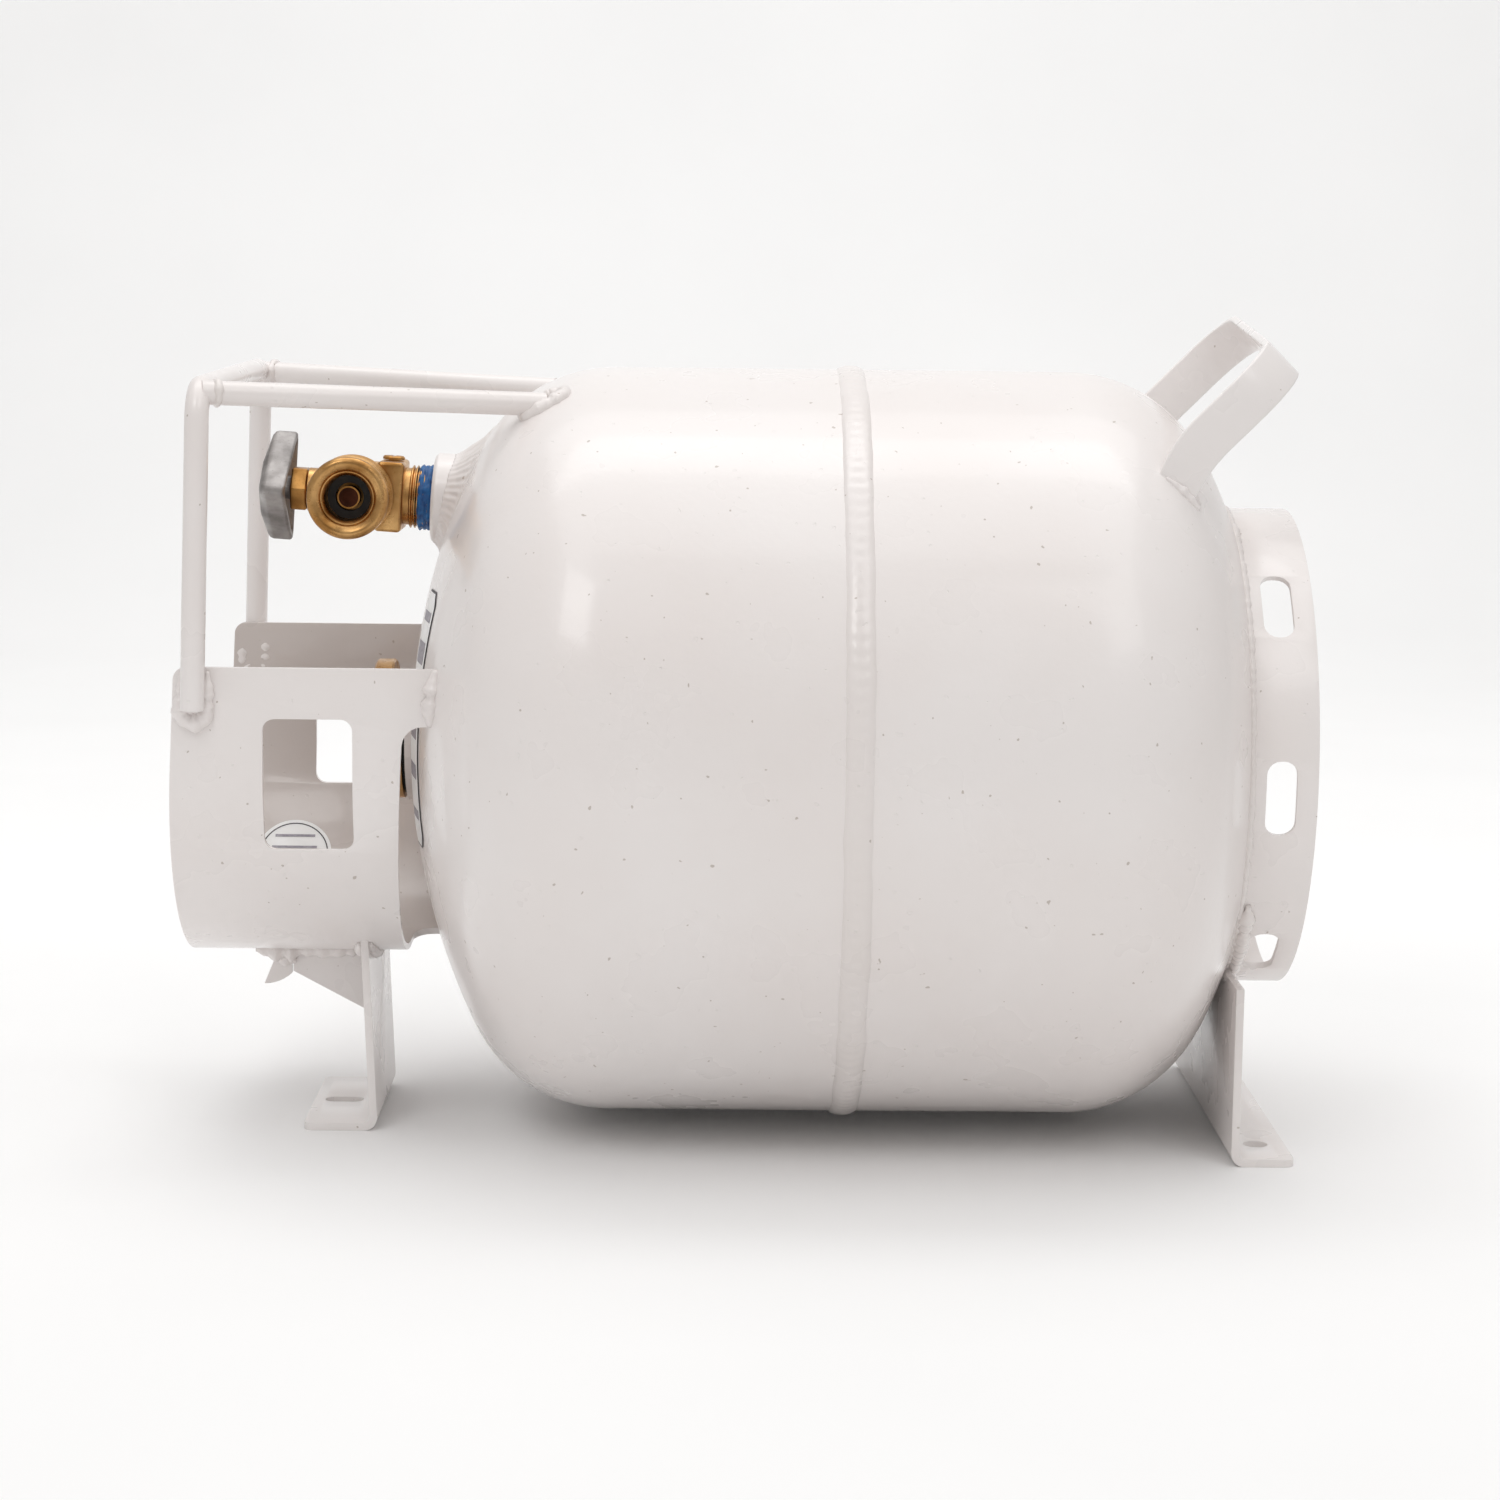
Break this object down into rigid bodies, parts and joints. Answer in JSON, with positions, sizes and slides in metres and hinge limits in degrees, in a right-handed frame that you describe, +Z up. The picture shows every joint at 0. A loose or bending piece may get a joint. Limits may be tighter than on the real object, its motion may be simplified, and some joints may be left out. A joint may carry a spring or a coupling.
{
  "type": "propane tank",
  "caption": "Horizontal LP-gas cylinder for a motorhome: welded shell, guard cage and collar, foot ring, bolt-down feet, strap handle, service valve with handwheel, float gauge.",
  "frame": {"origin": "on the mounting plane under the feet, below the middle of the cylinder", "axes": "+X along the tank from the valve end to the foot-ring end, +Z up as mounted, the valve's outlet faces -Y"},
  "size_m": [0.4552, 0.3152, 0.34],
  "materials": {
    "white_powder_coat": "gloss",
    "brass": "satin",
    "cast_zinc": "as cast",
    "plated_steel": "satin",
    "blue_sealant": "matte",
    "black_rubber": "matte",
    "float_plastic": "matte",
    "clear_lens": "gloss",
    "dial_print": "matte"
  },
  "bodies": {
    "tank": {"valve_end_shell": "white_powder_coat", "ring_end_shell": "white_powder_coat", "girth_weld": "white_powder_coat", "guard_collar": "white_powder_coat", "guard_hoop": "white_powder_coat", "front_rail": "white_powder_coat", "back_rail": "white_powder_coat", "foot_ring": "white_powder_coat", "valve_end_foot": "white_powder_coat", "foot_gusset": "white_powder_coat", "collar_tab": "white_powder_coat", "ring_end_foot": "white_powder_coat", "strap_handle": "white_powder_coat", "valve_boss": "white_powder_coat", "valve_body": "brass", "thread_sealant": "blue_sealant", "outlet_seal": "black_rubber", "outlet_spring": "plated_steel", "relief_spring": "plated_steel", "relief_cap": "brass", "packing_nut": "brass", "overfill_body": "brass", "overfill_pin": "plated_steel", "dip_tube": "brass", "gauge_flange": "white_powder_coat", "gauge_gasket": "black_rubber", "gauge_body": "brass", "gauge_dial": "dial_print", "gauge_lens": "clear_lens", "gauge_screw_1": "plated_steel", "gauge_screw_2": "plated_steel", "gauge_screw_3": "plated_steel", "gauge_screw_4": "plated_steel", "gauge_stem": "brass", "gauge_pin": "plated_steel"},
    "handwheel": {"handwheel": "cast_zinc", "handwheel_screw": "plated_steel", "valve_stem": "brass"},
    "seat": {"seat_disc": "black_rubber"},
    "bleeder": {"bleeder_screw": "brass"},
    "outlet_check": {"outlet_plunger": "brass"},
    "relief": {"relief_poppet": "brass"},
    "overfill_arm": {"overfill_float_arm": "float_plastic", "overfill_float": "float_plastic"},
    "shutoff": {"shutoff_piston": "brass"},
    "gauge_arm": {"gauge_float_arm": "plated_steel", "gauge_float": "float_plastic"},
    "gauge_indicator": {"gauge_shaft": "plated_steel", "gauge_needle": "black_rubber"}
  },
  "joints": [
    {"name": "handwheel_turn", "type": "hinge", "parent": "tank", "child": "handwheel", "pos_m": [-0.1285, 0, 0.2612], "axis": [-0.9981, 0, 0.061], "range_deg": [0, 450]},
    {"name": "seat_slide", "type": "slide", "parent": "tank", "child": "seat", "axis": [-0.9981, 0, 0.061], "range_m": [0, 0.004]},
    {"name": "bleeder_turn", "type": "hinge", "parent": "tank", "child": "bleeder", "pos_m": [-0.14597, 0, 0.26227], "axis": [0.061, 0, 0.9981], "range_deg": [0, 360]},
    {"name": "outlet_check_slide", "type": "slide", "parent": "tank", "child": "outlet_check", "axis": [0, 1, 0], "range_m": [0, 0.003], "stiffness_N_per_m": 400},
    {"name": "relief_slide", "type": "slide", "parent": "tank", "child": "relief", "axis": [0, 1, 0], "range_m": [0, 0.002], "stiffness_N_per_m": 2000},
    {"name": "overfill_arm_swing", "type": "hinge", "parent": "tank", "child": "overfill_arm", "pos_m": [-0.06063, 0, 0.25705], "axis": [0, -1, 0], "range_deg": [0, 25]},
    {"name": "shutoff_slide", "type": "slide", "parent": "tank", "child": "shutoff", "axis": [-0.9981, 0, 0.061], "range_m": [0, 0.008]},
    {"name": "gauge_arm_swing", "type": "hinge", "parent": "tank", "child": "gauge_arm", "pos_m": [-0.0362, 0, 0.1608], "axis": [0, -1, 0], "range_deg": [0, 100]},
    {"name": "gauge_indicator_turn", "type": "hinge", "parent": "tank", "child": "gauge_indicator", "pos_m": [-0.1372, 0, 0.1608], "axis": [1, 0, 0], "range_deg": [0, 200]}
  ],
  "couplings": [
    {"joint": "seat_slide", "follows": "handwheel_turn", "m_per_rad": 0.000509},
    {"joint": "shutoff_slide", "follows": "overfill_arm_swing", "m_per_rad": 0.0183},
    {"joint": "gauge_indicator_turn", "follows": "gauge_arm_swing", "ratio": 2}
  ]
}
